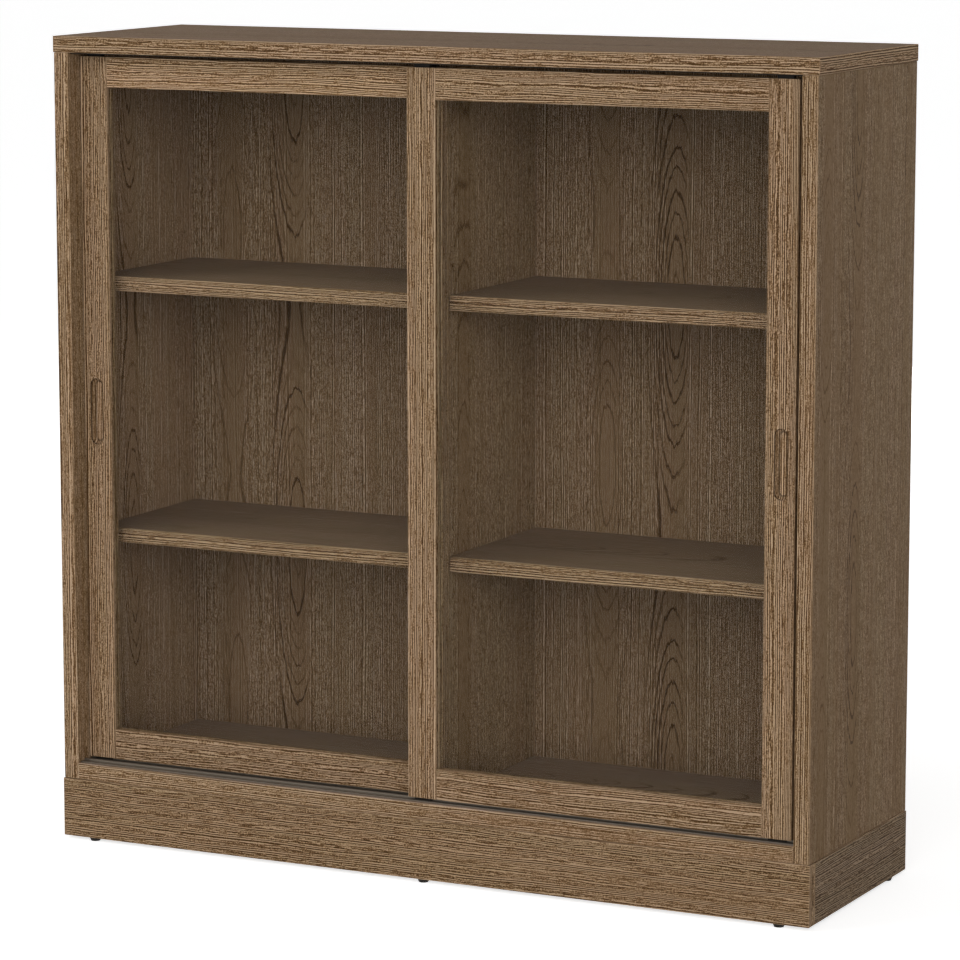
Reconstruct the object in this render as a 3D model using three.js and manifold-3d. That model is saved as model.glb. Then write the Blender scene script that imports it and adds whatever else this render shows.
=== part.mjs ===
// Bookcase with two framed glass doors that slide past each other on a double track.
// Millimetres, +Z up, front towards -Y, origin on the floor under the middle of the case.

import * as THREE from 'three';
import { ConvexGeometry } from 'three/addons/geometries/ConvexGeometry.js';
import { mergeVertices } from 'three/addons/utils/BufferGeometryUtils.js';
import Module from 'manifold-3d';

const wasm = await Module();
wasm.setup();

// Overall size
const width = 1210;
const depth = 370;
const height = 1205;

// Boards of the case
const topThickness = 24;
const topOverhang = 1.5;
const sideThickness = 24;
const bottomThickness = 24;
const partitionThickness = 24;
const edgeEase = 0.8;
const seam = 0.25;

// Back panels, held in grooves
const backThickness = 6;
const backInset = 10.5;
const backJoint = 1;
const grooveDepth = 6;
const grooveGap = 0.3;

// Plinth and feet
const plinthHeight = 88.5;
const plinthThickness = 20;
const plinthProud = 1.5;
const footHeight = 5;
const footRadius = 9;
const footTipRadius = 7;
const footPegRadius = 3;
const footPegLength = 10;
const footInset = 49;
const sideFootInset = 51;

// Doors
const doorThickness = 18;
const frontDoorInset = 10;
const doorSpacing = 4;
const behindDoors = 14;
const doorSideGap = 1;
const doorHeadGap = 6.5;
const doorOverlap = 38;
const rightDoorAjar = 6.5;
const stileWidth = 45;
const railWidth = 45;
const glassThickness = 4;
const glassSeat = 5;
const glassGap = 0.3;

// Finger pulls in the outer stiles
const pullLength = 100;
const pullWidth = 22;
const pullDepth = 8;
const pullOffset = 1.5;
const pullDepthShares = [0, 0.4, 0.7, 0.9, 1];
const pullRadiusShares = [1, 0.95, 0.82, 0.62, 0.4];

// Lower track and the shoes that ride on it
const trackMargin = 12.5;
const trackEndGap = 0.5;
const trackThickness = 1.5;
const ridgeWidth = 3;
const ridgeHeight = 2.5;
const shoeLength = 28;
const shoeCheek = 3.2;
const shoeRideGap = 0.3;
const shoeSideGap = 0.3;
const doorRideGap = 0.75;
const shoeTenonWidth = 8;
const shoeTenonHeight = 12;

// Upper track and the guides that run in it
const channelWall = 1.5;
const channelDepth = 8;
const guideWidth = 9;
const guideSideGap = 0.4;
const guideLength = 24;
const guideTenonDepth = 12;
const liftRoom = 3;

// Shelves and their pins
const shelfThickness = 22;
const shelfSetback = 2;
const shelfBackGap = 1.5;
const shelfEndGap = 1.2;
const shelfLevelShares = [0.31, 0.666];
const pinRadius = 2.5;
const pinHoleDepth = 9;
const pinReach = 8;
const pinCollarRadius = 3.4;
const pinCollarThickness = 0.6;
const pinPitch = 50.4;
const pinAboveUnderside = 12.5;
const pinFrontInset = 13.5;
const pinBackInset = 20;
const pinFit = 0.3;
const notchReach = 11;
const notchSideGap = 0.5;

// Cuts run past the surface that they open by this much
const overrun = 1;

// Facets of the round pieces
const pinSegments = 10;
const footSegments = 20;
const pullSegments = 10;

// Planes that several pieces share
const backY = depth / 2;
const plinthFrontY = -depth / 2;
const caseFrontY = plinthFrontY + plinthProud;
const plinthTopZ = footHeight + plinthHeight;
const sideOuterX = width / 2 - topOverhang;
const sideInnerX = sideOuterX - sideThickness;
const floorZ = plinthTopZ + seam + bottomThickness;
const ceilingZ = height - topThickness;
const backPanelRearY = backY - backInset;
const backPanelFrontY = backPanelRearY - backThickness;
const backGrooveY = (backPanelFrontY + backPanelRearY) / 2;
const backGrooveWidth = backThickness + 2 * grooveGap;
const frontDoorY = caseFrontY + frontDoorInset;
const rearDoorY = frontDoorY + doorThickness + doorSpacing;
const partitionFrontY = rearDoorY + doorThickness + behindDoors;
const partitionBackY = backPanelFrontY - seam;
const shelfFrontY = partitionFrontY + shelfSetback;
const shelfBackY = backPanelFrontY - shelfBackGap;
const doorPlanes = [frontDoorY + doorThickness / 2, rearDoorY + doorThickness / 2];
const trackFrontY = doorPlanes[0] - trackMargin;
const trackBackY = doorPlanes[1] + trackMargin;

// Places of the shelf pins: one row in each shelf, one above it and one below
const shelfLevels = shelfLevelShares.map((share) => floorZ + share * (ceilingZ - floorZ));
const pinRows = shelfLevels.flatMap((level) =>
  [-pinPitch, 0, pinPitch].map((step) => level + pinAboveUnderside + step));
const pinColumns = [shelfFrontY + pinFrontInset, shelfBackY - pinBackInset];

// Finishes
const finish = (color, roughness, metalness = 0, extra = {}) =>
  () => new THREE.MeshStandardMaterial({ color, roughness, metalness, ...extra });
const veneer = finish(0x6b5138, 0.55);
const darkVeneer = finish(0x4a3828, 0.6);
const glass = finish(0xa9a296, 0.05, 0, { transparent: true, opacity: 0.35 });
const aluminium = finish(0x8a8f94, 0.4, 0.9);
const blackPlastic = finish(0x161616, 0.5);
const steel = finish(0xc4c6c8, 0.3, 1);

// Closed solid of a geometry, ready to be joined or cut
function solid(geometry) {
  const bare = geometry.clone();
  bare.deleteAttribute('normal');
  bare.deleteAttribute('uv');
  const merged = mergeVertices(bare);
  return new wasm.Manifold(new wasm.Mesh({
    numProp: 3,
    vertProperties: new Float32Array(merged.attributes.position.array),
    triVerts: new Uint32Array(merged.index.array),
  }));
}

// Geometry of a closed solid
function geometryOf(body) {
  const { vertProperties, triVerts } = body.getMesh();
  const shared = new THREE.BufferGeometry();
  shared.setAttribute('position', new THREE.BufferAttribute(vertProperties, 3));
  shared.setIndex(new THREE.BufferAttribute(triVerts, 1));
  const geometry = shared.toNonIndexed();
  geometry.computeVertexNormals();
  return geometry;
}

function cut(geometry, cutters) {
  return geometryOf(cutters.reduce((body, cutter) => body.subtract(solid(cutter)), solid(geometry)));
}

function place(node, geometry, material, x, y, z) {
  const mesh = new THREE.Mesh(geometry, material());
  mesh.name = node;
  mesh.position.set(x, y, z);
  return mesh;
}

// Board about the origin with all its edges eased
function easedBoard(sizeX, sizeY, sizeZ) {
  const ease = Math.min(edgeEase, sizeX / 4, sizeY / 4, sizeZ / 4);
  const half = [sizeX / 2, sizeY / 2, sizeZ / 2];
  const points = [];
  for (const flat of [0, 1, 2]) {
    for (const sx of [-1, 1]) {
      for (const sy of [-1, 1]) {
        for (const sz of [-1, 1]) {
          const [x, y, z] = half.map((reach, axis) => (axis === flat ? reach : reach - ease));
          points.push(new THREE.Vector3(sx * x, sy * y, sz * z));
        }
      }
    }
  }
  return new ConvexGeometry(points);
}

// Two places along an axis, the lower one first
const span = (a, b) => [Math.min(a, b), Math.max(a, b)];

// Box between two corners
function boxBetween(x0, x1, y0, y1, z0, z1) {
  const box = new THREE.BoxGeometry(x1 - x0, y1 - y0, z1 - z0);
  return box.translate((x0 + x1) / 2, (y0 + y1) / 2, (z0 + z1) / 2);
}

// Profile drawn in the Y-Z plane and drawn out along X, centred on X = 0
function alongX(points, length) {
  const shape = new THREE.Shape(points.map(([y, z]) => new THREE.Vector2(y, z)));
  const bar = new THREE.ExtrudeGeometry(shape, { depth: length, bevelEnabled: false });
  bar.translate(0, 0, -length / 2);
  return bar.applyMatrix4(new THREE.Matrix4().makeBasis(
    new THREE.Vector3(0, 1, 0), new THREE.Vector3(0, 0, 1), new THREE.Vector3(1, 0, 0)));
}

// Cylinder lying along X between two places
function pegAlongX(radius, x0, x1, y, z) {
  const peg = new THREE.CylinderGeometry(radius, radius, x1 - x0, pinSegments);
  return peg.rotateZ(Math.PI / 2).translate((x0 + x1) / 2, y, z);
}

// Eased board between two corners. Its cutters are drawn in the same frame as the corners.
function board(node, material, [x0, x1], [y0, y1], [z0, z1], cutters = []) {
  const centre = [(x0 + x1) / 2, (y0 + y1) / 2, (z0 + z1) / 2];
  const blank = easedBoard(x1 - x0, y1 - y0, z1 - z0);
  const shift = centre.map((value) => -value);
  const moved = cutters.map((cutter) => cutter.translate(...shift));
  return place(node, moved.length ? cut(blank, moved) : blank, material, ...centre);
}

function topPanel() {
  const channelOuter = guideWidth + 2 * (guideSideGap + channelWall + seam);
  const channelGrooves = doorPlanes.map((y) => boxBetween(
    -sideInnerX, sideInnerX, y - channelOuter / 2, y + channelOuter / 2,
    ceilingZ - overrun, ceilingZ + channelDepth + channelWall + seam));
  const backGroove = boxBetween(
    -sideInnerX - grooveDepth, sideInnerX + grooveDepth,
    backGrooveY - backGrooveWidth / 2, backGrooveY + backGrooveWidth / 2,
    ceilingZ - overrun, ceilingZ + grooveDepth);
  return board('top_panel', veneer, [-width / 2, width / 2], [caseFrontY, backY],
    [ceilingZ, height], [...channelGrooves, backGroove]);
}

// Blind holes for the shelf pins, sunk from face x in the direction given
function pinHoles(faceX, direction) {
  const ends = span(faceX - direction * overrun, faceX + direction * pinHoleDepth);
  return pinColumns.flatMap((y) => pinRows.map((z) => pegAlongX(pinRadius + pinFit, ...ends, y, z)));
}

function sidePanel(node, side) {
  const outer = side * sideOuterX;
  const inner = side * sideInnerX;
  const groove = span(inner - side * overrun, inner + side * grooveDepth);
  const backGroove = boxBetween(
    ...groove, backGrooveY - backGrooveWidth / 2, backGrooveY + backGrooveWidth / 2,
    floorZ - grooveDepth, ceilingZ + overrun);
  return board(node, veneer, span(inner, outer), [caseFrontY, backY],
    [plinthTopZ + seam, ceilingZ - seam], [backGroove, ...pinHoles(inner, side)]);
}

function bottomPanel() {
  const reach = sideInnerX - seam;
  const backGroove = boxBetween(
    -reach - overrun, reach + overrun,
    backGrooveY - backGrooveWidth / 2, backGrooveY + backGrooveWidth / 2,
    floorZ - grooveDepth, floorZ + overrun);
  return board('bottom_panel', veneer, [-reach, reach], [caseFrontY, backY],
    [plinthTopZ + seam, floorZ], [backGroove]);
}

function centrePartition() {
  const half = partitionThickness / 2;
  return board('centre_partition', veneer, [-half, half], [partitionFrontY, partitionBackY],
    [floorZ + seam, ceilingZ - seam], [...pinHoles(-half, 1), ...pinHoles(half, -1)]);
}

function backPanel(node, side) {
  const reach = grooveDepth - grooveGap;
  const ends = span(side * backJoint / 2, side * (sideInnerX + reach));
  return board(node, darkVeneer, ends, [backPanelFrontY, backPanelRearY],
    [floorZ - reach, ceilingZ + reach]);
}

// Plinth boards stand on edge, with a hole underneath for each foot's peg
function plinthBoard(node, xs, ys, feet) {
  const holes = feet.map(([x, y]) => {
    const radius = footPegRadius + seam;
    const top = footHeight + seam + footPegLength + seam;
    const hole = new THREE.CylinderGeometry(radius, radius, top, footSegments / 2);
    return hole.rotateX(Math.PI / 2).translate(x, y, top / 2);
  });
  return board(node, veneer, xs, ys, [footHeight + seam, plinthTopZ], holes);
}

function foot(node, [x, y]) {
  const profile = [
    [0, 0],
    [footTipRadius, 0],
    [footRadius, footHeight],
    [footPegRadius, footHeight],
    [footPegRadius, footHeight + footPegLength],
    [0, footHeight + footPegLength],
  ].map(([r, z]) => new THREE.Vector2(r, z));
  const body = new THREE.LatheGeometry(profile, footSegments).rotateX(Math.PI / 2);
  return place(node, body, blackPlastic, x, y, 0);
}

function plinth() {
  const group = new THREE.Group();
  const half = width / 2;
  const sideIn = half - plinthThickness;
  const frontIn = plinthFrontY + plinthThickness;
  const backIn = backY - plinthThickness;
  const frontFootY = plinthFrontY + plinthThickness / 2;
  const backFootY = backY - plinthThickness / 2;
  const sideFootX = half - plinthThickness / 2;
  const sideFootY = backY - sideFootInset;
  const frontFeet = [[-half + footInset, frontFootY], [0, frontFootY], [half - footInset, frontFootY]];
  const leftFoot = [-sideFootX, sideFootY];
  const rightFoot = [sideFootX, sideFootY];
  const backFoot = [0, backFootY];
  const runs = [frontIn + seam, backY];
  group.add(
    plinthBoard('plinth_front', [-half, half], [plinthFrontY, frontIn], frontFeet),
    plinthBoard('plinth_left', [-half, -sideIn], runs, [leftFoot]),
    plinthBoard('plinth_right', [sideIn, half], runs, [rightFoot]),
    plinthBoard('plinth_back', [-sideIn + seam, sideIn - seam], [backIn, backY], [backFoot]),
    plinthBoard('plinth_centre_brace', [-plinthThickness / 2, plinthThickness / 2],
      [frontIn + seam, backIn - seam], []),
    foot('foot_front_left', frontFeet[0]),
    foot('foot_front_centre', frontFeet[1]),
    foot('foot_front_right', frontFeet[2]),
    foot('foot_side_left', leftFoot),
    foot('foot_side_right', rightFoot),
    foot('foot_back_centre', backFoot),
  );
  return group;
}

// Flat strip with a ridge under each door
function lowerTrack() {
  const profile = [[trackBackY, trackThickness], [trackBackY, 0], [trackFrontY, 0],
    [trackFrontY, trackThickness]];
  for (const y of doorPlanes) {
    profile.push(
      [y - ridgeWidth / 2, trackThickness],
      [y - ridgeWidth / 2, trackThickness + ridgeHeight],
      [y + ridgeWidth / 2, trackThickness + ridgeHeight],
      [y + ridgeWidth / 2, trackThickness],
    );
  }
  const length = 2 * (sideInnerX - trackEndGap);
  return place('lower_track', alongX(profile, length), aluminium, 0, 0, floorZ + seam);
}

// Thin strip under the top panel with a channel let into it above each door
function upperTrack() {
  const inner = guideWidth / 2 + guideSideGap;
  const outer = inner + channelWall;
  const over = [];
  const under = [];
  for (const y of doorPlanes) {
    over.push([y - outer, 0], [y - outer, channelDepth + channelWall],
      [y + outer, channelDepth + channelWall], [y + outer, 0]);
    under.push([y - inner, -channelWall], [y - inner, channelDepth],
      [y + inner, channelDepth], [y + inner, -channelWall]);
  }
  const profile = [[trackFrontY, -channelWall], [trackFrontY, 0], ...over,
    [trackBackY, 0], [trackBackY, -channelWall], ...under.reverse()];
  const length = 2 * (sideInnerX - trackEndGap);
  return place('upper_track', alongX(profile, length), blackPlastic, 0, 0, ceilingZ - seam);
}

// Shelf with a notch in each end over each pin
function shelf(node, x0, x1, level) {
  const notchHalf = pinRadius + notchSideGap;
  const notchTop = level + pinAboveUnderside + pinRadius + pinFit;
  const notches = pinColumns.flatMap((y) => [
    boxBetween(x0 - overrun, x0 + notchReach, y - notchHalf, y + notchHalf, level - overrun, notchTop),
    boxBetween(x1 - notchReach, x1 + overrun, y - notchHalf, y + notchHalf, level - overrun, notchTop),
  ]);
  return board(node, veneer, [x0, x1], [shelfFrontY, shelfBackY],
    [level, level + shelfThickness], notches);
}

// Pin with a thin collar: one end sits in the board's hole, the other in the shelf's notch
function shelfPin(node, faceX, direction, y, z) {
  const profile = [
    [0, -pinHoleDepth + pinFit],
    [pinRadius, -pinHoleDepth + pinFit],
    [pinRadius, seam],
    [pinCollarRadius, seam],
    [pinCollarRadius, seam + pinCollarThickness],
    [pinRadius, seam + pinCollarThickness],
    [pinRadius, shelfEndGap + pinReach],
    [0, shelfEndGap + pinReach],
  ].map(([r, along]) => new THREE.Vector2(r, along));
  const body = new THREE.LatheGeometry(profile, pinSegments).rotateZ(-direction * Math.PI / 2);
  return place(node, body, steel, faceX, y, z);
}

function shelves() {
  const group = new THREE.Group();
  const bays = [
    ['left', -sideInnerX, -partitionThickness / 2],
    ['right', partitionThickness / 2, sideInnerX],
  ];
  const names = ['lower', 'upper'];
  bays.forEach(([bay, faceLeft, faceRight]) => shelfLevels.forEach((level, row) => {
    const label = `${names[row]}_${bay}`;
    group.add(shelf(`shelf_${label}`, faceLeft + shelfEndGap, faceRight - shelfEndGap, level));
    pinColumns.forEach((y, column) => {
      const at = column ? 'back' : 'front';
      const z = level + pinAboveUnderside;
      group.add(
        shelfPin(`shelf_pin_${label}_${at}_1`, faceLeft, 1, y, z),
        shelfPin(`shelf_pin_${label}_${at}_2`, faceRight, -1, y, z),
      );
    });
  }));
  return group;
}

// Doors: drawn with X from the left edge, Y from the front face and Z from the lower edge
const doorWidth = (2 * (sideInnerX - doorSideGap) + doorOverlap) / 2;
const doorBottomZ = floorZ + seam + trackThickness + ridgeHeight + doorRideGap;
const doorHeight = ceilingZ - doorHeadGap - doorBottomZ;

// Dished recess with round ends, as a round-nosed cutter leaves it
function pullCutter(x, z) {
  const rise = (pullLength - pullWidth) / 2;
  const points = [];
  pullDepthShares.forEach((share, level) => {
    const radius = pullRadiusShares[level] * pullWidth / 2;
    const y = level ? share * pullDepth : -overrun;
    for (let step = 0; step <= pullSegments; step += 1) {
      const angle = Math.PI * step / pullSegments;
      const reach = radius * Math.cos(angle);
      const lift = rise + radius * Math.sin(angle);
      points.push(
        new THREE.Vector3(x + reach, y, z + lift), new THREE.Vector3(x + reach, y, z - lift));
    }
  });
  return new ConvexGeometry(points);
}

// Stile from x0, with its glass groove on the side named by inward (1 right, -1 left)
function stile(node, x0, inward, pull) {
  const x1 = x0 + stileWidth;
  const centre = (x0 + x1) / 2;
  const inner = inward > 0 ? x1 : x0;
  const middle = doorThickness / 2;
  const glassHalf = glassThickness / 2 + glassGap;
  const groove = span(inner + inward * overrun, inner - inward * glassSeat);
  const shoeHalf = shoeTenonWidth / 2 + seam;
  const guideHalf = guideWidth / 2 + seam;
  const cutters = [
    boxBetween(...groove, middle - glassHalf, middle + glassHalf,
      railWidth - glassSeat, doorHeight - railWidth + glassSeat),
    boxBetween(centre - shoeLength / 2 - seam, centre + shoeLength / 2 + seam,
      middle - shoeHalf, middle + shoeHalf, -overrun, shoeTenonHeight + seam),
    boxBetween(centre - guideLength / 2 - seam, centre + guideLength / 2 + seam,
      middle - guideHalf, middle + guideHalf, doorHeight - guideTenonDepth - seam, doorHeight + overrun),
  ];
  if (pull) cutters.push(pullCutter(centre - inward * pullOffset, doorHeight / 2));
  return board(node, veneer, [x0, x1], [0, doorThickness], [0, doorHeight], cutters);
}

// Rail between the stiles, with its glass groove in the upper or lower edge
function rail(node, z0, upward) {
  const x0 = stileWidth + seam;
  const x1 = doorWidth - stileWidth - seam;
  const z1 = z0 + railWidth;
  const edge = upward > 0 ? z1 : z0;
  const middle = doorThickness / 2;
  const glassHalf = glassThickness / 2 + glassGap;
  const groove = span(edge + upward * overrun, edge - upward * glassSeat);
  return board(node, veneer, [x0, x1], [0, doorThickness], [z0, z1], [
    boxBetween(x0 - overrun, x1 + overrun, middle - glassHalf, middle + glassHalf, ...groove),
  ]);
}

function pane(node) {
  const seat = glassSeat - glassGap;
  const spanX = doorWidth - 2 * stileWidth + 2 * seat;
  const spanZ = doorHeight - 2 * railWidth + 2 * seat;
  return place(node, new THREE.BoxGeometry(spanX, glassThickness, spanZ), glass,
    doorWidth / 2, doorThickness / 2, doorHeight / 2);
}

// Shoe in the foot of a stile: it straddles a ridge of the lower track
function shoe(node, x) {
  const inner = ridgeWidth / 2 + shoeSideGap;
  const outer = inner + shoeCheek;
  const grooveTop = shoeRideGap - doorRideGap;
  const foot = shoeRideGap - doorRideGap - ridgeHeight;
  const shoulder = Math.max(outer, shoeTenonWidth / 2);
  const profile = [
    [-shoulder, foot], [-inner, foot], [-inner, grooveTop], [inner, grooveTop], [inner, foot],
    [shoulder, foot], [shoulder, -seam], [shoeTenonWidth / 2, -seam],
    [shoeTenonWidth / 2, shoeTenonHeight], [-shoeTenonWidth / 2, shoeTenonHeight],
    [-shoeTenonWidth / 2, -seam], [-shoulder, -seam],
  ];
  return place(node, alongX(profile, shoeLength), blackPlastic, x, doorThickness / 2, 0);
}

// Guide in the head of a stile: it stands up into a channel of the upper track
function guide(node, x) {
  const z0 = doorHeight - guideTenonDepth;
  const z1 = doorHeight + doorHeadGap - seam + channelDepth - liftRoom;
  return place(node, new THREE.BoxGeometry(guideLength, guideWidth, z1 - z0), blackPlastic,
    x, doorThickness / 2, (z0 + z1) / 2);
}

function door(label, x, y, pullOnLeft) {
  const group = new THREE.Group();
  const leftEnd = pullOnLeft ? 'outer' : 'inner';
  const rightEnd = pullOnLeft ? 'inner' : 'outer';
  const rightStileX = doorWidth - stileWidth;
  group.position.set(x, y, doorBottomZ);
  group.add(
    stile(`${label}_${leftEnd}_stile`, 0, 1, pullOnLeft),
    stile(`${label}_${rightEnd}_stile`, rightStileX, -1, !pullOnLeft),
    rail(`${label}_bottom_rail`, 0, 1),
    rail(`${label}_top_rail`, doorHeight - railWidth, -1),
    pane(`${label}_glass`),
  );
  [[leftEnd, stileWidth / 2], [rightEnd, rightStileX + stileWidth / 2]].forEach(([end, at]) => {
    group.add(shoe(`${label}_${end}_shoe`, at), guide(`${label}_${end}_guide`, at));
  });
  return group;
}

const bookcase = new THREE.Group();
bookcase.name = 'bookcase';
bookcase.add(
  topPanel(),
  sidePanel('left_side_panel', -1),
  sidePanel('right_side_panel', 1),
  bottomPanel(),
  centrePartition(),
  backPanel('left_back_panel', -1),
  backPanel('right_back_panel', 1),
  plinth(),
  lowerTrack(),
  upperTrack(),
  shelves(),
  door('left_door', -sideInnerX + doorSideGap, rearDoorY, true),
  door('right_door', sideInnerX - doorSideGap - rightDoorAjar - doorWidth, frontDoorY, false),
);

export default bookcase;
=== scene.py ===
import math
from dataclasses import asdict, dataclass, replace

import bpy
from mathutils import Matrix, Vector


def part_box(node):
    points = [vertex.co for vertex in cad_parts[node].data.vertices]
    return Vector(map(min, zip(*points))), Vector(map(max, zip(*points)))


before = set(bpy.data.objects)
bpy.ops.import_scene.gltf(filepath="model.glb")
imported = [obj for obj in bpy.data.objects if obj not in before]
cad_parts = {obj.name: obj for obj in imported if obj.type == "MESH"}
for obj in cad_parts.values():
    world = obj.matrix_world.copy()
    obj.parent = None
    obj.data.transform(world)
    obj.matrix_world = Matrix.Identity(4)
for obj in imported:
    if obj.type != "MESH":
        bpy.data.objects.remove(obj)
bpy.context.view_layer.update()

MM = 0.001
WHITE = (1.0, 1.0, 1.0)

# Axes by number, with the others in order, and the two sides of a board
ALONG_X, ALONG_Y, ALONG_Z = range(3)
LETTERS = "XYZ"
BOTH = (-1, 1)

# Camera, in metres and degrees, solved from the photograph without lens shift
CAMERA_PLACE = (2.761, -5.490, 1.539)
CAMERA_YAW = 26.67
CAMERA_PITCH = -9.02
SENSOR_WIDTH = 36.0
LENS = 159.5

# Light: the world is bright about one direction and dim elsewhere
FULL_LIGHT = 2.95
DIM_LIGHT = 0.19
BRIGHT_SIDE = (0.34, -0.94, 0.0)
BRIGHT_SPAN = (0.6, 0.95)

# Lamps: name, place and size in metres, and power in watts. They shine at the middle of the case.
LAMPS = (
    ("key", (-3.25, -2.73, 4.84), (3.0, 3.0), 78.0),
    ("fill", (4.59, -3.85, 0.95), (3.0, 1.8), 12.0),
    ("rear", (-0.8, 5.6, 0.65), (4.0, 1.0), 110.0),
)
LAMP_TARGET = (0.0, 0.0, 0.6)

FLOOR_REACH = 60.0
FLOOR_PAINT = 0.8
FLOOR_GLOW = 0.7

# How softly the rings about the two hearts join, and the radius of an arch's tip, in millimetres
HEART_JOIN = 12.0
TIP_RADIUS = 3.0

# The lean of the log shows near a heart. It is halved where the distance squared is this.
LEAN_REACH_SQUARED = 2000.0

# Over these distances from the first heart the rings get out of step with its own, and faint
SHIFT_SPAN = (45.0, 75.0)
FAINT_SPAN = (50.0, 75.0)

# Fibres run in tracks: the pitch of the tracks in millimetres, the cycles per millimetre at
# which their strength varies, and their share. The last kind runs long, in some strips only.
FIBRES = (
    (2.8, (0.050, 0.25, 0.1), 1.0),
    (3.4, (0.034, 0.20, 0.1), 0.8),
    (4.4, (0.022, 0.15, 0.1), 0.45),
)
LONG_FIBRE = (3.0, (0.007, 0.12, 0.1), 0.68)

# Colours as seen on a screen: stained oak from its palest to its darkest, its worn edges, and
# the other materials
OAK_SHADES = (
    (0.0, (180, 155, 127)),
    (0.3, (141, 115, 87)),
    (0.6, (103, 77, 47)),
    (1.0, (70, 47, 23)),
)
WORN_OAK = (178, 150, 118)
HARDBOARD_SHADES = ((0.1, (112, 90, 66)), (0.5, (140, 116, 88)), (0.9, (166, 142, 112)))
TRACK_METAL = (127, 119, 109)
PIN_STEEL = (168, 168, 166)
BLACK_PLASTIC = (21, 17, 13)

# The glass: what it lets through, and the share that it mirrors, head on and more at a slant
GLASS_TINT = (0.972, 0.979, 0.97, 1.0)
GLASS_MIRROR = 0.004
GLASS_SLANT_MIRROR = 0.5

# Tones, which multiply the colour of the veneer, and most of them paint light and shade into it.
# The top's upper face is darker and greyer: painted shade. The outer sides are a little greyer:
# painted light. The photograph's inside is lit more evenly than lamps light it, so the inner
# faces are lighter: painted light. The shelves' edges are a little darker.
TOP_PAINTED_SHADE = (0.8, 0.82, 0.88)
OUTER_SIDE_PAINTED_LIGHT = (0.99, 1.05, 1.12)
LEFT_WALL_PAINTED_LIGHT = (1.54, 1.68, 2.0)
WALL_PAINTED_LIGHT = (1.32, 1.42, 1.54)
BACK_PAINTED_LIGHT = (1.07, 1.16, 1.36)
BOTTOM_PAINTED_LIGHT = (1.55, 1.88, 2.75)
SHELF_PAINTED_LIGHT = (1.34, 1.58, 2.18)
SHELF_EDGE_TONE = (0.97, 0.95, 0.95)

# The shades of the rails' broad faces, where they aren't 1
RAIL_SHADES = {
    ("left", "top_rail"): 1.28,
    ("left", "bottom_rail"): 0.88,
    ("right", "bottom_rail"): 0.93,
}

# In front of the doors a side panel's inner face gets less painted light than within, which
# paints shade there. It gives way to the face's own painted light behind the stiles, from the lip
# on and over the fade, in millimetres.
LIP_PAINTED_LIGHT = (1.23, 1.31, 1.4)
LIP = -150.0
LIP_FADE = 85.0
NO_LIP = -1000.0

# The plinth's veneer is a little darker than the rest, and its lines are stronger. Its sides are
# darker and greyer still: painted shade.
PLINTH_TONE = (0.83, 0.82, 0.78)
PLINTH_SIDE_PAINTED_SHADE = (0.65, 0.68, 0.71)
PLINTH_CONTRAST = 1.2

# How far the grain ripples sideways, in millimetres
WAVE = 3.0
PLINTH_WAVE = 7.0
RAIL_WAVE = 9.0

# Where a sheet has one heart, the other lies this far off. A band's heart lies beside the band.
NO_HEART = 900.0
BAND_ASIDE = 300.0

# How much the seed differs from one direction of a board's faces to the next
FACE_SEED = 0.37

# Faces of the finger pull lie farther than this from the stile's sides and ends, and one of
# their corners lies deeper than this behind its front
PULL_ASIDE = 4 * MM
PULL_END = 100 * MM
PULL_SUNK = 0.1 * MM

# Zones of the finger pull: the least part along Y of their faces' normals, and their shade, which
# is painted shade on the rim and the foot and painted light on the floor
PULL_ZONES_AND_PAINTED_SHADE = (
    ("rim", -0.3, 0.42),
    ("slope", -0.9, 0.98),
    ("foot", -0.97, 0.6),
    ("floor", -1.1, 1.3),
)

# What the veneer group is told about each board
LEAF_SOCKETS = "heart second depth lean turn cycle ring wave line contrast fine lip".split()


@dataclass(frozen=True)
class Leaf:
    """How one sheet of veneer was cut. Lengths are in millimetres, and the rest are shares.

    The rings lie about heart and second, two places across the sheet, at depth beneath it, with
    ring between them. The log leans to and fro by lean, once in each cycle along the grain, and
    turn is where it stands upright. Wave is the reach of the ripples. Line is the strength of
    the rings, contrast that of all lines, and fine shortens the fibres. Tone multiplies the
    colour; on many of the case's faces it is painted light and shade. Nearer to the front than
    lip the sheet has the lip's tone, less painted light than within, which paints shade there.
    """

    heart: float
    second: float
    depth: float = 34.0
    lean: float = 50.0
    turn: float = 600.0
    cycle: float = 2600.0
    ring: float = 4.6
    wave: float = WAVE
    line: float = 1.0
    contrast: float = 0.5
    fine: float = 1.0
    lip: float = NO_LIP
    tone: tuple = WHITE


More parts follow.
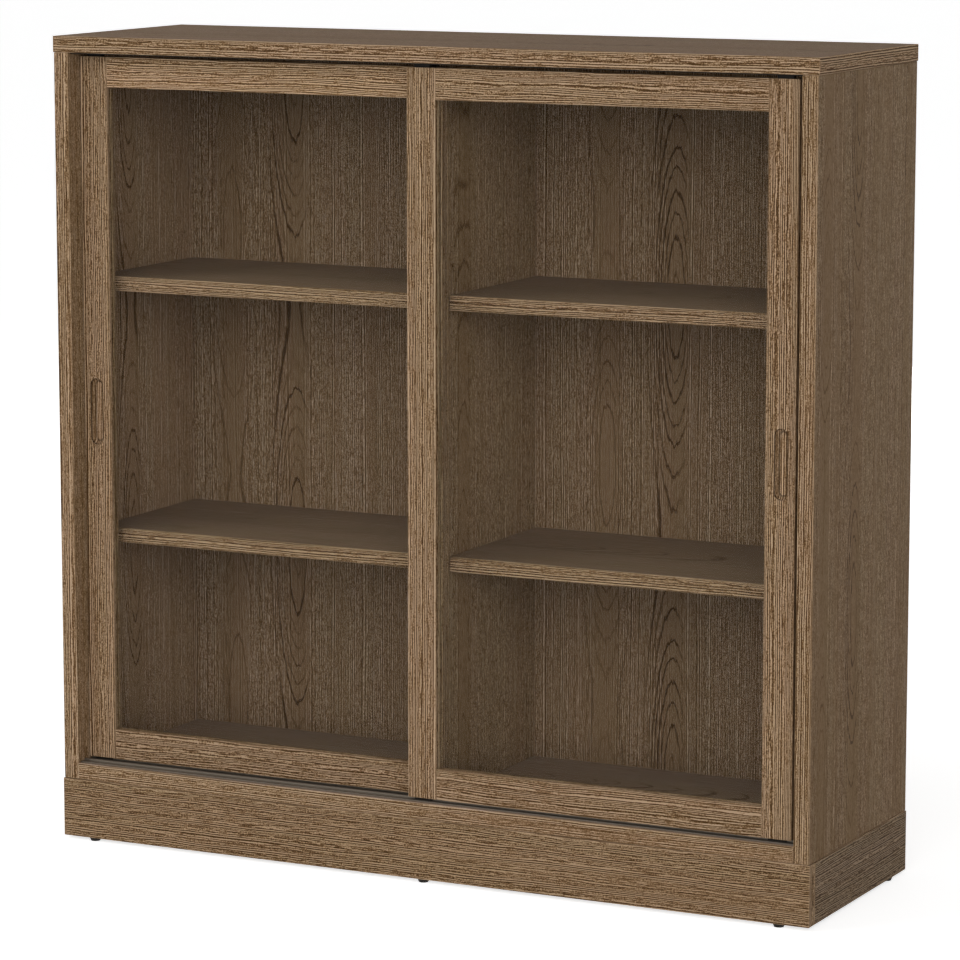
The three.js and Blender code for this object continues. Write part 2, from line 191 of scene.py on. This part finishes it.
class Graph:
    """Adds nodes to one tree. Most calls give back the socket that they make."""

    def __init__(self, tree):
        self.tree = tree

    def add(self, kind, **settings):
        made = self.tree.nodes.new(kind)
        for name, value in settings.items():
            setattr(made, name, value)
        return made

    def feed(self, socket, value):
        if isinstance(value, bpy.types.NodeSocket):
            self.tree.links.new(value, socket)
        else:
            socket.default_value = value

    def math(self, operation, *values, clamp=False):
        made = self.add("ShaderNodeMath", operation=operation, use_clamp=clamp)
        for socket, value in zip(made.inputs, values):
            self.feed(socket, value)
        return made.outputs[0]

    def vector(self, operation, *values):
        made = self.add("ShaderNodeVectorMath", operation=operation)
        for socket, value in zip(made.inputs, values):
            self.feed(socket, value)
        return made.outputs[0]

    def total(self, *values):
        summed = values[0]
        for value in values[1:]:
            summed = self.math("ADD", summed, value)
        return summed

    def span(self, value, low, high, to_low=0.0, to_high=1.0):
        """Carries low..high smoothly to to_low..to_high."""
        made = self.add("ShaderNodeMapRange", interpolation_type="SMOOTHSTEP")
        for name, number in (
            ("Value", value),
            ("From Min", low),
            ("From Max", high),
            ("To Min", to_low),
            ("To Max", to_high),
        ):
            self.feed(made.inputs[name], number)
        return made.outputs["Result"]

    def noise(self, place, stretch, detail=1.0, roughness=0.5):
        """Noise over place, with stretch cycles per unit on each axis, from 0 to 1."""
        made = self.add("ShaderNodeTexNoise")
        self.feed(made.inputs["Vector"], self.vector("MULTIPLY", place, stretch))
        made.inputs["Scale"].default_value = 1.0
        made.inputs["Detail"].default_value = detail
        made.inputs["Roughness"].default_value = roughness
        return made.outputs[0]

    def swing(self, place, stretch, reach, detail=1.0, roughness=0.5):
        """The same noise about zero, reach wide."""
        centred = self.math("SUBTRACT", self.noise(place, stretch, detail, roughness), 0.5)
        return self.math("MULTIPLY", centred, reach)

    def parts(self, vector):
        made = self.add("ShaderNodeSeparateXYZ")
        self.feed(made.inputs[0], vector)
        return made.outputs[0], made.outputs[1], made.outputs[2]

    def joined(self, x, y, z):
        made = self.add("ShaderNodeCombineXYZ")
        for socket, value in zip(made.inputs, (x, y, z)):
            self.feed(socket, value)
        return made.outputs[0]

    def ramp(self, value, stops):
        made = self.add("ShaderNodeValToRGB")
        elements = made.color_ramp.elements
        while len(elements) < len(stops):
            elements.new(0.5)
        for element, (place, colour) in zip(elements, stops):
            element.position = place
            element.color = (*linear(colour), 1.0)
        self.feed(made.inputs[0], value)
        return made.outputs[0]

    def blend(self, share, first, second, kind="MIX"):
        made = self.add("ShaderNodeMix", data_type="RGBA", blend_type=kind)
        for socket, value in ((0, share), (6, first), (7, second)):
            self.feed(made.inputs[socket], value)
        return made.outputs[2]


def linear(colour):
    """Three numbers from 0 to 255, as seen on a screen, as linear light."""
    shares = [c / 255 for c in colour]
    return tuple(s / 12.92 if s <= 0.04045 else ((s + 0.055) / 1.055) ** 2.4 for s in shares)


def new_material(name):
    made = bpy.data.materials.new(name)
    made.use_nodes = True
    made.node_tree.nodes.clear()
    return made, Graph(made.node_tree)


def finish_with(graph, shader):
    output = graph.add("ShaderNodeOutputMaterial")
    graph.feed(output.inputs["Surface"], shader)


def principled(graph, **values):
    """A Principled shader, with the values under its sockets' names, underscores for spaces."""
    made = graph.add("ShaderNodeBsdfPrincipled")
    for name, value in values.items():
        graph.feed(made.inputs[name.replace("_", " ")], value)
    return made.outputs[0]


def ring_lines(graph, given, place, wander):
    """The dark lines of the rings about two hearts, and the distance to the nearer heart."""
    along, across, _ = graph.parts(given["Place"])
    offsets = []
    for heart in ("heart", "second"):
        offsets.append(graph.math("SUBTRACT", graph.math("ADD", across, wander), given[heart]))
    distances = [graph.math("ABSOLUTE", offset) for offset in offsets]
    offset = graph.math("SMOOTH_MIN", *distances, HEART_JOIN)

    # Ring number, from the distance to the nearer heart and the lean of the log
    squared = graph.math("MULTIPLY", offset, offset)
    depth = given["depth"]
    rounded = graph.math("SQRT", graph.total(squared, graph.math("MULTIPLY", depth, depth)))
    pointed = graph.math("SQRT", graph.math("ADD", squared, TIP_RADIUS**2))
    radius = graph.math("MULTIPLY_ADD", pointed, 0.08, rounded)
    turns = graph.math("DIVIDE", graph.math("SUBTRACT", along, given["turn"]), given["cycle"])
    later = graph.span(distances[0], *SHIFT_SPAN, 0.0, 2.2)
    angle = graph.math("MULTIPLY_ADD", turns, 2 * math.pi, later)
    rise = graph.math("MULTIPLY", graph.math("SINE", angle), given["lean"])
    near = graph.math("ADD", squared, LEAN_REACH_SQUARED)
    fade = graph.math("DIVIDE", LEAN_REACH_SQUARED, near)
    teeth = graph.swing(place, (0.03, 0.22, 0.05), 2.4, 2.0)
    even = graph.math("MULTIPLY_ADD", rise, fade, graph.math("ADD", radius, teeth))
    uneven = graph.swing(graph.joined(even, given["seed"], 0.0), (0.07, 1.7, 1.0), 8.0)
    rings = graph.math("DIVIDE", graph.math("ADD", even, uneven), given["ring"])

    # A line at each ring, thin near the heart, each with a strength of its own
    number = graph.math("FLOOR", rings)
    from_line = graph.math("ABSOLUTE", graph.math("SUBTRACT", graph.math("FRACT", rings), 0.5))
    half_line = graph.span(offset, 0.0, 40.0, 0.08, 0.34)
    line = graph.math("SUBTRACT", 1.0, graph.math("DIVIDE", from_line, half_line), clamp=True)
    chance = graph.add("ShaderNodeTexWhiteNoise", noise_dimensions="2D")
    graph.feed(chance.inputs["Vector"], graph.joined(number, given["seed"], 0.0))
    strength = graph.span(chance.outputs["Value"], 0.0, 1.0, 0.1, 1.0)
    flow = graph.vector("ADD", place, graph.joined(0.0, wander, 0.0))
    dashes = graph.span(graph.noise(flow, (0.05, 0.28, 0.1), 1.0), 0.36, 0.62, -0.6, 0.1)
    dashes = graph.math("MULTIPLY_ADD", dashes, graph.span(offset, 6.0, 60.0), 1.0)

    # The rings show on one flank of the first heart more than on the other, and at the second
    # heart they are faint
    near_side = graph.span(offsets[0], 2.0, 22.0)
    beside = graph.math("MULTIPLY", near_side, graph.span(offsets[0], 90.0, 60.0))
    faint = graph.span(distances[0], *FAINT_SPAN, 1.0, 0.22)
    patches = graph.span(graph.noise(place, (0.004, 0.03, 0.02), 1.0), 0.3, 0.55, 0.4, 1.0)
    shown = graph.math("MULTIPLY", graph.math("MULTIPLY_ADD", beside, -0.9, 1.0), patches)
    early = graph.math("MULTIPLY", graph.math("MULTIPLY", line, strength), dashes)
    early = graph.math("MULTIPLY", early, graph.math("MULTIPLY", shown, faint))
    return graph.math("MULTIPLY", early, given["line"]), offset


def fibre_lines(graph, given, flow, strip):
    """Fibres, dark and pale by turns. Each shows in dashes along its track."""
    _, across, _ = graph.parts(flow)
    spread = graph.swing(graph.joined(0.0, across, given["seed"]), (1.0, 0.09, 1.7), 9.0)
    track = graph.math("ADD", across, spread)
    shortened = graph.vector("MULTIPLY", flow, graph.joined(given["fine"], 1.0, 1.0))
    fibres = []
    for pitch, stretch, share in (*FIBRES, LONG_FIBRE):
        wave = graph.math("SINE", graph.math("MULTIPLY", track, 2 * math.pi / pitch))
        dash = graph.span(graph.noise(shortened, stretch), 0.36, 0.62, 0.0, share)
        fibres.append(graph.math("MULTIPLY", wave, dash))
    *short_fibres, long_fibre = fibres
    weight = graph.math("MULTIPLY_ADD", strip, -0.35, 1.0)
    return graph.total(
        graph.math("MULTIPLY", graph.total(*short_fibres), weight),
        graph.math("MULTIPLY", long_fibre, strip),
    )


def worn_edges(graph, given, place, colour):
    """The colour, with a pale worn line along the edges of the board."""
    inside = graph.vector(
        "MINIMUM",
        graph.vector("SUBTRACT", given["Place"], given["Low"]),
        graph.vector("SUBTRACT", given["High"], given["Place"]),
    )
    inside_along, inside_across, _ = graph.parts(inside)
    to_edge = graph.math("MINIMUM", inside_along, inside_across)
    ragged = graph.total(to_edge, graph.swing(place, (0.05, 0.3, 0.3), 1.6, 2.0))
    wear = graph.span(ragged, 0.2, 1.6, 0.3, 0.0)
    return graph.blend(wear, colour, (*linear(WORN_OAK), 1.0))


def veneer_group():
    """The figure of stained oak: rings about two hearts, streaks, pores, fibres and worn edges.

    Place is in millimetres, x along the grain, y across it and z through the sheet.
    """
    tree = bpy.data.node_groups.new("oak_figure", "ShaderNodeTree")
    graph = Graph(tree)
    for name, kind in (
        ("Place", "NodeSocketVector"),
        ("Low", "NodeSocketVector"),
        ("High", "NodeSocketVector"),
        ("tone", "NodeSocketVector"),
        ("seed", "NodeSocketFloat"),
        *((name, "NodeSocketFloat") for name in LEAF_SOCKETS),
    ):
        tree.interface.new_socket(name=name, in_out="INPUT", socket_type=kind)
    for name, kind in (
        ("Colour", "NodeSocketColor"),
        ("Roughness", "NodeSocketFloat"),
        ("Height", "NodeSocketFloat"),
    ):
        tree.interface.new_socket(name=name, in_out="OUTPUT", socket_type=kind)
    given = graph.add("NodeGroupInput").outputs
    apart = graph.vector("SCALE", (137.1, 71.7, 31.3))
    graph.feed(apart.node.inputs["Scale"], given["seed"])
    place = graph.vector("ADD", given["Place"], apart)

    # The grain wanders sideways, and all lines follow it
    bend = graph.swing(place, (0.0016, 0.010, 0.02), 12.0)
    ripple = graph.swing(place, (0.007, 0.03, 0.05), given["wave"])
    wander = graph.math("ADD", bend, ripple)
    flow = graph.vector("ADD", place, graph.joined(0.0, wander, 0.0))
    early, offset = ring_lines(graph, given, place, wander)
    strip = graph.span(graph.noise(place, (0.0006, 0.022, 0.02)), 0.45, 0.6)
    fibre = fibre_lines(graph, given, flow, strip)

    streaks = graph.span(graph.noise(flow, (0.002, 0.16, 0.1), 1.0), 0.6, 0.74)
    pores = graph.span(graph.noise(flow, (0.14, 0.9, 0.3)), 0.5, 0.72)
    specks = graph.swing(flow, (0.42, 0.7, 0.3), 1.0)
    grit = graph.math("MULTIPLY", given["fine"], graph.math("MULTIPLY_ADD", strip, -0.7, 1.8))
    cloud = graph.swing(place, (0.0015, 0.014, 0.02), 1.0)

    # Near a heart the rings are strong, and fibres and specks are weak
    far = graph.span(offset, 6.0, 60.0)
    lively = graph.span(offset, 6.0, 30.0, 0.35, 1.0)
    figure = graph.total(
        graph.math("MULTIPLY", early, graph.math("MULTIPLY_ADD", far, -2.06, 2.1)),
        graph.math("MULTIPLY", streaks, 0.2),
        graph.math("MULTIPLY", graph.math("MULTIPLY", fibre, lively), 0.8),
        graph.math("MULTIPLY", pores, 0.3),
        graph.math("MULTIPLY", graph.math("MULTIPLY", specks, lively), grit),
        graph.math("MULTIPLY", cloud, 0.2),
        -0.17,
    )
    colour = graph.ramp(graph.math("MULTIPLY_ADD", figure, given["contrast"], 0.55), OAK_SHADES)

    # Some strips are a little redder and some a little greener
    hue = graph.span(graph.noise(place, (0.002, 0.03, 0.02)), 0.4, 0.6)
    tint = graph.blend(hue, (1.015, 0.98, 0.97, 1.0), (1.0, 0.982, 0.95, 1.0))
    colour = graph.blend(1.0, colour, tint, "MULTIPLY")
    # The tone multiplies the colour. On many faces it is painted light and shade, and in front of
    # the lip a side panel's inner face gets the lip's lesser painted light, a painted shade.
    _, across, _ = graph.parts(given["Place"])
    within = graph.span(across, given["lip"], graph.math("ADD", given["lip"], LIP_FADE))
    tone = graph.blend(within, (*LIP_PAINTED_LIGHT, 1.0), given["tone"])
    colour = graph.vector("MULTIPLY", colour, tone)
    colour = worn_edges(graph, given, place, colour)

    roughness = graph.total(
        0.72, graph.math("MULTIPLY", pores, 0.15), graph.math("MULTIPLY", fibre, 0.05)
    )
    height = graph.math(
        "SUBTRACT",
        1.0,
        graph.total(graph.math("MULTIPLY", early, 0.45), graph.math("MULTIPLY", pores, 0.55)),
        clamp=True,
    )
    result = graph.add("NodeGroupOutput")
    for name, value in (("Colour", colour), ("Roughness", roughness), ("Height", height)):
        graph.feed(result.inputs[name], value)
    return tree


OAK = veneer_group()


def bumped(graph, height, strength, reach):
    """A normal with the height's relief, reach millimetres deep."""
    made = graph.add("ShaderNodeBump")
    made.inputs["Strength"].default_value = strength
    made.inputs["Distance"].default_value = reach * MM
    graph.feed(made.inputs["Height"], height)
    return made.outputs["Normal"]


def place_in_metres(graph):
    """The place on the object."""
    return graph.add("ShaderNodeTexCoord").outputs["Object"]


def place_in_millimetres(graph):
    return graph.vector("MULTIPLY", place_in_metres(graph), (1 / MM, 1 / MM, 1 / MM))


def veneer(name, grain, normal, box, seed, leaf):
    """Oak on the faces of one board that look along normal, with the grain along grain."""
    made, graph = new_material(name)
    across = 3 - grain - normal
    order = (grain, across, normal)
    found = graph.parts(place_in_millimetres(graph))
    oak = graph.add("ShaderNodeGroup", node_tree=OAK)
    graph.feed(oak.inputs["Place"], graph.joined(*(found[axis] for axis in order)))
    low, high = ([corner[axis] / MM for axis in order] for corner in box)
    for socket, value in {"Low": low, "High": high, "seed": seed, **asdict(leaf)}.items():
        oak.inputs[socket].default_value = value
    shader = principled(
        graph,
        Base_Color=oak.outputs["Colour"],
        Roughness=oak.outputs["Roughness"],
        Specular_IOR_Level=0.14,
        Normal=bumped(graph, oak.outputs["Height"], 0.5, 0.2),
    )
    finish_with(graph, shader)
    return made


def facing(normal):
    """The axis that a face looks along most."""
    sizes = [abs(part) for part in normal]
    return sizes.index(max(sizes))


def dress_board(
    name,
    grain,
    seed,
    leaf=None,
    wave=WAVE,
    contrast=1.0,
    inner=(),
    tone=None,
    lip=NO_LIP,
    edge=WHITE,
):
    """Veneers a board: its broad faces with its own grain, its edges with bands along them.

    Without a leaf the broad faces have bands too. Those on the inner sides, -1 or 1 along the
    board's thin axis, have their own tone and lip; on the panels, shelves and plinth sides this
    tone is painted light and shade. Wave, contrast and edge, a tone, are those of the bands.
    """
    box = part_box(name)
    size = box[1] - box[0]
    thin = min(range(3), key=lambda axis: size[axis])
    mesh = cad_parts[name].data
    mesh.materials.clear()
    places = {}
    for polygon in mesh.polygons:
        normal = facing(polygon.normal)
        broad = normal == thin
        toned = broad and (1 if polygon.normal[normal] > 0 else -1) in inner
        if (normal, toned) not in places:
            others = [axis for axis in range(3) if axis != normal]
            own = grain if broad else max(others, key=lambda axis: size[axis])
            aside = sum(box[0][axis] for axis in others) / MM - BAND_ASIDE
            band = Leaf(
                heart=aside,
                second=aside - NO_HEART,
                depth=60.0,
                lean=10.0,
                ring=4.8,
                wave=wave,
                contrast=contrast,
                tone=edge,
            )
            shown = leaf if leaf and broad else band
            if toned:
                shown = replace(shown, tone=tone, lip=lip)
            label = f"oak_{name}_{LETTERS[normal].lower()}" + ("_inner" if toned else "")
            places[normal, toned] = len(mesh.materials)
            mesh.materials.append(veneer(label, own, normal, box, seed + FACE_SEED * normal, shown))
        polygon.material_index = places[normal, toned]


def dress_recess(name, seed):
    """The finger pull routed into a stile: zones from its steep rim down to its flat floor."""
    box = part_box(name)
    low, high = box
    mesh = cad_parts[name].data
    first = len(mesh.materials)
    dish = Leaf(heart=0.0, second=NO_HEART, wave=1.0, line=0.0, contrast=0.55)
    # Each zone's tone is painted shade on the rim and foot, and painted light on the floor
    for zone, _, shade in PULL_ZONES_AND_PAINTED_SHADE:
        leaf = replace(dish, tone=(shade, 1.02 * shade, 1.08 * shade))
        mesh.materials.append(veneer(f"oak_{name}_{zone}", ALONG_Z, ALONG_Y, box, seed, leaf))
    for polygon in mesh.polygons:
        corners = [mesh.vertices[index].co for index in polygon.vertices]
        centred = all(low.x + PULL_ASIDE < corner.x < high.x - PULL_ASIDE for corner in corners)
        between = all(low.z + PULL_END < corner.z < high.z - PULL_END for corner in corners)
        sunk = max(corner.y for corner in corners) > low.y + PULL_SUNK
        front = all(corner.y < high.y - PULL_ASIDE for corner in corners)
        if centred and between and sunk and front:
            below = [polygon.normal.y > limit for _, limit, _ in PULL_ZONES_AND_PAINTED_SHADE]
            polygon.material_index = first + below.index(True)


def hardboard(name):
    """The bare rear of a back panel: pressed brown fibre."""
    made, graph = new_material(name)
    place = place_in_millimetres(graph)
    strands = graph.swing(place, (0.3, 0.4, 0.25), 1.0, 3.0, 0.7)
    flecks = graph.span(graph.noise(place, (0.16, 0.4, 0.09)), 0.62, 0.75)
    cloud = graph.swing(place, (0.004, 0.01, 0.004), 0.2, 2.0)
    strong = graph.math("MULTIPLY", strands, 1.6)
    shade = graph.total(0.45, strong, cloud, graph.math("MULTIPLY", flecks, 0.3))
    shader = principled(
        graph,
        Base_Color=graph.ramp(shade, HARDBOARD_SHADES),
        Roughness=graph.math("MULTIPLY_ADD", strands, 0.2, 0.74),
        Normal=bumped(graph, strands, 0.35, 0.15),
    )
    finish_with(graph, shader)
    return made


def bare_rear(material, name):
    """Gives the rear face of a board the material."""
    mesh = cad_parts[name].data
    place = len(mesh.materials)
    mesh.materials.append(material)
    for polygon in mesh.polygons:
        if polygon.normal.y > 0.5:
            polygon.material_index = place


def plain_metal(name, colour, roughness, seed):
    """Satin metal, brushed along X."""
    made, graph = new_material(name)
    place = graph.vector("ADD", place_in_metres(graph), (seed, seed, seed))
    brushed = graph.swing(place, (12.0, 2600.0, 2600.0), 1.0, 2.0)
    shade = graph.math("MULTIPLY_ADD", brushed, 0.35, 0.5)
    pale = tuple(min(255, c * 1.18) for c in colour)
    deep = tuple(c * 0.82 for c in colour)
    shader = principled(
        graph,
        Base_Color=graph.ramp(shade, ((0.2, deep), (0.8, pale))),
        Metallic=1.0,
        Roughness=graph.math("MULTIPLY_ADD", brushed, 0.25, roughness),
    )
    finish_with(graph, shader)
    return made


def plastic(name, colour, roughness):
    """Moulded plastic with a fine spark-eroded skin."""
    made, graph = new_material(name)
    place = place_in_metres(graph)
    skin = graph.noise(place, (2400.0, 2400.0, 2400.0), 2.0)
    cloud = graph.swing(place, (60.0, 60.0, 60.0), 1.0)
    pale = tuple(min(255, c * 1.25 + 6) for c in colour)
    shader = principled(
        graph,
        Base_Color=graph.ramp(graph.math("ADD", cloud, 0.5), ((0.2, colour), (0.8, pale))),
        Roughness=graph.math("MULTIPLY_ADD", skin, 0.2, roughness),
        Specular_IOR_Level=0.2,
        Normal=bumped(graph, skin, 0.4, 0.05),
    )
    finish_with(graph, shader)
    return made


def glass():
    """Clear float glass, faintly tinted, that lets the light of the lamps through."""
    made, graph = new_material("door_glass")
    through = graph.add("ShaderNodeBsdfTransparent")
    through.inputs["Color"].default_value = GLASS_TINT
    gloss = graph.add("ShaderNodeBsdfGlossy")
    gloss.inputs["Roughness"].default_value = 0.03
    slant = graph.add("ShaderNodeLayerWeight").outputs["Facing"]
    steep = graph.math("POWER", slant, 5.0)
    share = graph.math("MULTIPLY_ADD", steep, GLASS_SLANT_MIRROR, GLASS_MIRROR)
    mixed = graph.add("ShaderNodeMixShader")
    graph.feed(mixed.inputs[0], share)
    graph.feed(mixed.inputs[1], through.outputs[0])
    graph.feed(mixed.inputs[2], gloss.outputs[0])
    finish_with(graph, mixed.outputs[0])
    return made


def give(material, *names):
    for name in names:
        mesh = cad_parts[name].data
        mesh.materials.clear()
        mesh.materials.append(material)


def dress_case():
    # Tones paint shade on the top panel's upper face, and light on the faces inside the case and on
    # its outer sides
    top = Leaf(heart=-20.0, second=150.0, turn=0.0, contrast=0.3)
    dress_board("top_panel", ALONG_X, 1.0, top, inner=(1,), tone=TOP_PAINTED_SHADE)
    bottom = Leaf(heart=60.0, second=-160.0, turn=100.0, contrast=0.25)
    dress_board("bottom_panel", ALONG_X, 2.0, bottom, inner=(1,), tone=BOTTOM_PAINTED_LIGHT)
    side = Leaf(
        heart=-15.0,
        second=NO_HEART,
        depth=46.0,
        lean=15.0,
        turn=603.0,
        cycle=730.0,
        ring=4.0,
        line=2.2,
        contrast=0.44,
        fine=1.5,
        tone=OUTER_SIDE_PAINTED_LIGHT,
    )
    right = replace(side, heart=-32.0, second=-143.0, line=1.7, contrast=0.5)
    dress_board("left_side_panel", ALONG_Z, 3.0, side, inner=(1,), tone=LEFT_WALL_PAINTED_LIGHT, lip=LIP)
    dress_board("right_side_panel", ALONG_Z, 4.0, right, inner=(-1,), tone=WALL_PAINTED_LIGHT, lip=LIP)
    partition = Leaf(heart=-68.0, second=NO_HEART, line=0.4, fine=1.5)
    dress_board("centre_partition", ALONG_Z, 5.0, partition, inner=BOTH, tone=WALL_PAINTED_LIGHT)
    dress_backs()
    dress_plinth()


def dress_backs():
    rear = hardboard("hardboard_rear")
    shared = {"depth": 46.0, "lean": 15.0, "cycle": 730.0, "contrast": 0.42, "fine": 1.7}
    backs = {
        "left_back_panel": Leaf(
            heart=-398.0, second=-507.0, turn=590.0, ring=3.8, line=2.1, **shared
        ),
        "right_back_panel": Leaf(
            heart=240.0, second=130.0, turn=1010.0, ring=4.2, line=2.0, **shared
        ),
    }
    # The backs' inner faces get painted light
    for seed, (name, leaf) in enumerate(backs.items(), 6):
        dress_board(name, ALONG_Z, float(seed), leaf, inner=(-1,), tone=BACK_PAINTED_LIGHT)
        bare_rear(rear, name)


def dress_plinth():
    shared = {"wave": PLINTH_WAVE, "contrast": PLINTH_CONTRAST, "inner": BOTH}
    dress_board("plinth_front", ALONG_X, 10.0, tone=PLINTH_TONE, **shared)
    dress_board("plinth_back", ALONG_X, 11.0, tone=PLINTH_TONE, **shared)
    dress_board("plinth_centre_brace", ALONG_Y, 12.0, tone=PLINTH_TONE, **shared)
    # The plinth's sides get painted shade
    dress_board("plinth_left", ALONG_Y, 14.0, tone=PLINTH_SIDE_PAINTED_SHADE, **shared)
    dress_board("plinth_right", ALONG_Y, 15.0, tone=PLINTH_SIDE_PAINTED_SHADE, **shared)


def dress_shelves():
    leaf = Leaf(heart=40.0, second=-90.0, depth=40.0, lean=40.0, turn=0.0, contrast=0.22)
    # The shelves' broad faces get painted light
    shelf_faces_and_painted_light = {"inner": BOTH, "tone": SHELF_PAINTED_LIGHT, "edge": SHELF_EDGE_TONE}
    seed = 20.0
    for level in ("lower", "upper"):
        for side in ("left", "right"):
            dress_board(f"shelf_{level}_{side}", ALONG_X, seed, leaf, **shelf_faces_and_painted_light)
            seed += 1.0


def dress_doors(pane):
    seed = 30.0
    for side in ("left", "right"):
        for member in ("outer_stile", "inner_stile"):
            dress_board(f"{side}_door_{member}", ALONG_Z, seed)
            seed += 1.0
        dress_recess(f"{side}_door_outer_stile", seed + 7.0)
        for member in ("bottom_rail", "top_rail"):
            shade = RAIL_SHADES.get((side, member), 1.0)
            name = f"{side}_door_{member}"
            tone = (shade, shade, shade)
            dress_board(name, ALONG_X, seed, wave=RAIL_WAVE, inner=BOTH, tone=tone)
            seed += 1.0
        give(pane, f"{side}_door_glass")


def dress_fittings():
    aluminium = plain_metal("track_metal", TRACK_METAL, 0.5, 0.3)
    steel = plain_metal("pin_steel", PIN_STEEL, 0.34, 0.7)
    black = plastic("black_plastic", BLACK_PLASTIC, 0.5)
    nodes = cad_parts
    give(aluminium, "lower_track")
    give(black, "upper_track", *(name for name in nodes if name.startswith("foot_")))
    give(steel, *(name for name in nodes if name.startswith("shelf_pin_")))
    give(black, *(name for name in nodes if name.endswith(("_shoe", "_guide"))))


def make_camera():
    data = bpy.data.cameras.new("camera")
    data.lens = LENS
    data.sensor_width = SENSOR_WIDTH
    camera = bpy.data.objects.new("camera", data)
    camera.location = CAMERA_PLACE
    camera.rotation_euler = (math.radians(90 + CAMERA_PITCH), 0.0, math.radians(CAMERA_YAW))
    bpy.context.scene.collection.objects.link(camera)
    bpy.context.scene.camera = camera


def shows_background(graph):
    """1 for rays that see the background itself, or its image in gloss or glass."""
    path = graph.add("ShaderNodeLightPath").outputs
    mirrored = graph.math("MAXIMUM", path["Is Glossy Ray"], path["Is Transmission Ray"])
    return graph.math("MAXIMUM", path["Is Camera Ray"], mirrored)


def make_world():
    world = bpy.data.worlds.new("studio")
    world.use_nodes = True
    world.node_tree.nodes.clear()
    graph = Graph(world.node_tree)
    background = graph.add("ShaderNodeBackground")
    background.inputs["Color"].default_value = (*WHITE, 1.0)
    direction = graph.add("ShaderNodeTexCoord").outputs["Generated"]
    toward = graph.add("ShaderNodeVectorMath", operation="DOT_PRODUCT")
    graph.feed(toward.inputs[0], direction)
    toward.inputs[1].default_value = Vector(BRIGHT_SIDE).normalized()
    light = graph.span(toward.outputs["Value"], *BRIGHT_SPAN, DIM_LIGHT, FULL_LIGHT)
    seen = shows_background(graph)
    lift = graph.math("MULTIPLY", seen, graph.math("SUBTRACT", 1.0, light))
    graph.feed(background.inputs["Strength"], graph.math("ADD", light, lift))
    output = graph.add("ShaderNodeOutputWorld")
    graph.feed(output.inputs["Surface"], background.outputs[0])
    bpy.context.scene.world = world


def make_lamp(name, place, size, power):
    data = bpy.data.lights.new(name, "AREA")
    data.shape = "RECTANGLE"
    data.size, data.size_y = size
    data.energy = power
    lamp = bpy.data.objects.new(name, data)
    lamp.location = place
    toward = Vector(LAMP_TARGET) - Vector(place)
    lamp.rotation_euler = toward.to_track_quat("-Z", "Y").to_euler()
    bpy.context.scene.collection.objects.link(lamp)


def make_floor():
    mesh = bpy.data.meshes.new("floor")
    signs = ((-1, -1), (1, -1), (1, 1), (-1, 1))
    corners = [(FLOOR_REACH * x, FLOOR_REACH * y, 0) for x, y in signs]
    mesh.from_pydata(corners, [], [(0, 1, 2, 3)])
    floor = bpy.data.objects.new("floor", mesh)
    bpy.context.scene.collection.objects.link(floor)
    made, graph = new_material("floor")
    paint = graph.add("ShaderNodeBsdfDiffuse")
    paint.inputs["Color"].default_value = (FLOOR_PAINT, FLOOR_PAINT, FLOOR_PAINT, 1.0)
    glow = graph.add("ShaderNodeEmission")
    graph.feed(glow.inputs["Strength"], graph.math("MULTIPLY", shows_background(graph), FLOOR_GLOW))
    both = graph.add("ShaderNodeAddShader")
    graph.feed(both.inputs[0], paint.outputs[0])
    graph.feed(both.inputs[1], glow.outputs[0])
    finish_with(graph, both.outputs[0])
    mesh.materials.append(made)


def make_studio():
    make_world()
    make_floor()
    for lamp in LAMPS:
        make_lamp(*lamp)


make_camera()
dress_case()
dress_shelves()
dress_doors(glass())
dress_fittings()
make_studio()
bpy.context.scene.view_settings.view_transform = "Standard"
